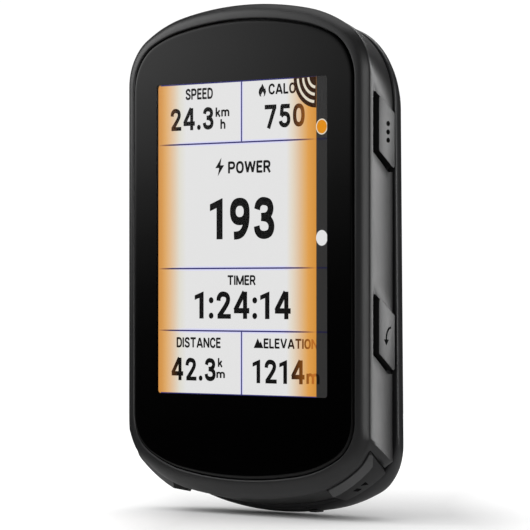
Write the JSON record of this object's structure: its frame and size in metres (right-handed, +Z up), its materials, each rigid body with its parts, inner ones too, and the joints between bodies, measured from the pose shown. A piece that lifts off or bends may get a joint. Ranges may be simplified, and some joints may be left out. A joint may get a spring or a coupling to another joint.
{
  "type": "cycling computer",
  "caption": "Handlebar cycling computer with a tall rounded case, a glass front over a display, side and lower buttons, a charging port cover and a quarter-turn mount insert on its back.",
  "frame": {"origin": "centre of the mount insert's rear face", "axes": "+Y out of the back, towards the mount; +Z up the display; +X to the right as the display is read"},
  "size_m": [0.0578, 0.0196, 0.0851],
  "materials": {
    "black_glass": "polished",
    "adhesive": "matte",
    "display_face": "smooth",
    "white_plastic": "satin",
    "steel": "satin",
    "flex_circuit": "smooth",
    "satin_plastic": "satin",
    "rear_plastic": "fine texture",
    "grey_silicone": "matte",
    "circuit_board": "satin",
    "ceramic": "matte",
    "black_rubber": "matte",
    "battery_pouch": "satin",
    "foam": "open cell",
    "button_rubber": "satin"
  },
  "bodies": {
    "case": {"back_seal": "grey_silicone", "back_switch": "steel", "backlight_unit": "white_plastic", "battery_connector": "white_plastic", "battery_foam": "foam", "battery_lead": "black_rubber", "battery_pack": "battery_pouch", "board_screw_1": "steel", "board_screw_2": "steel", "board_screw_3": "steel", "board_screw_4": "steel", "buzzer": "black_rubber", "cover_glass": "black_glass", "display_flex": "flex_circuit", "display_frame": "steel", "display_panel": "display_face", "down_seal": "grey_silicone", "down_switch": "steel", "front_housing": "satin_plastic", "glass_adhesive": "adhesive", "gnss_antenna": "ceramic", "housing_seal": "grey_silicone", "insert_screw_1": "steel", "insert_screw_2": "steel", "lap_button_flex": "flex_circuit", "lap_seal": "grey_silicone", "lap_switch": "steel", "left_button_flex": "flex_circuit", "light_sensor": "white_plastic", "main_circuit_board": "circuit_board", "menu_seal": "grey_silicone", "menu_switch": "steel", "power_seal": "grey_silicone", "power_switch": "steel", "pressure_sensor": "steel", "processor_shield": "steel", "quarter_turn_insert": "rear_plastic", "radio_shield": "steel", "rear_housing": "rear_plastic", "right_button_flex": "flex_circuit", "start_button_flex": "flex_circuit", "start_seal": "grey_silicone", "start_switch": "steel", "up_seal": "grey_silicone", "up_switch": "steel", "usb_board": "circuit_board", "usb_gasket": "grey_silicone", "usb_receptacle": "steel", "vent_membrane": "white_plastic", "wireless_antenna": "ceramic"},
    "menu": {"menu_button": "button_rubber"},
    "back": {"back_button": "button_rubber"},
    "power": {"power_button": "button_rubber"},
    "up": {"up_button": "button_rubber"},
    "down": {"down_button": "button_rubber"},
    "start": {"start_button": "button_rubber"},
    "lap": {"lap_button": "button_rubber"},
    "port_cover": {"port_cover": "black_rubber"}
  },
  "joints": [
    {"name": "menu_press", "type": "slide", "parent": "case", "child": "menu", "axis": [-1, 0, 0], "range_m": [0, 0.0006], "stiffness_N_per_m": 2500, "springref_m": -0.0002},
    {"name": "back_press", "type": "slide", "parent": "case", "child": "back", "axis": [-1, 0, 0], "range_m": [0, 0.0006], "stiffness_N_per_m": 2500, "springref_m": -0.0002},
    {"name": "power_press", "type": "slide", "parent": "case", "child": "power", "axis": [1, 0, 0], "range_m": [0, 0.0006], "stiffness_N_per_m": 2500, "springref_m": -0.0002},
    {"name": "up_press", "type": "slide", "parent": "case", "child": "up", "axis": [1, 0, 0], "range_m": [0, 0.0006], "stiffness_N_per_m": 2500, "springref_m": -0.0002},
    {"name": "down_press", "type": "slide", "parent": "case", "child": "down", "axis": [1, 0, 0], "range_m": [0, 0.0006], "stiffness_N_per_m": 2500, "springref_m": -0.0002},
    {"name": "start_press", "type": "slide", "parent": "case", "child": "start", "axis": [-0.585, 0, 0.8111], "range_m": [0, 0.0006], "stiffness_N_per_m": 2500, "springref_m": -0.0002},
    {"name": "lap_press", "type": "slide", "parent": "case", "child": "lap", "axis": [0.585, 0, 0.8111], "range_m": [0, 0.0006], "stiffness_N_per_m": 2500, "springref_m": -0.0002},
    {"name": "port_cover_swing", "type": "hinge", "parent": "case", "child": "port_cover", "pos_m": [-0.0076, -0.00944, -0.0422], "axis": [0, 1, 0], "range_deg": [0, 110]}
  ]
}
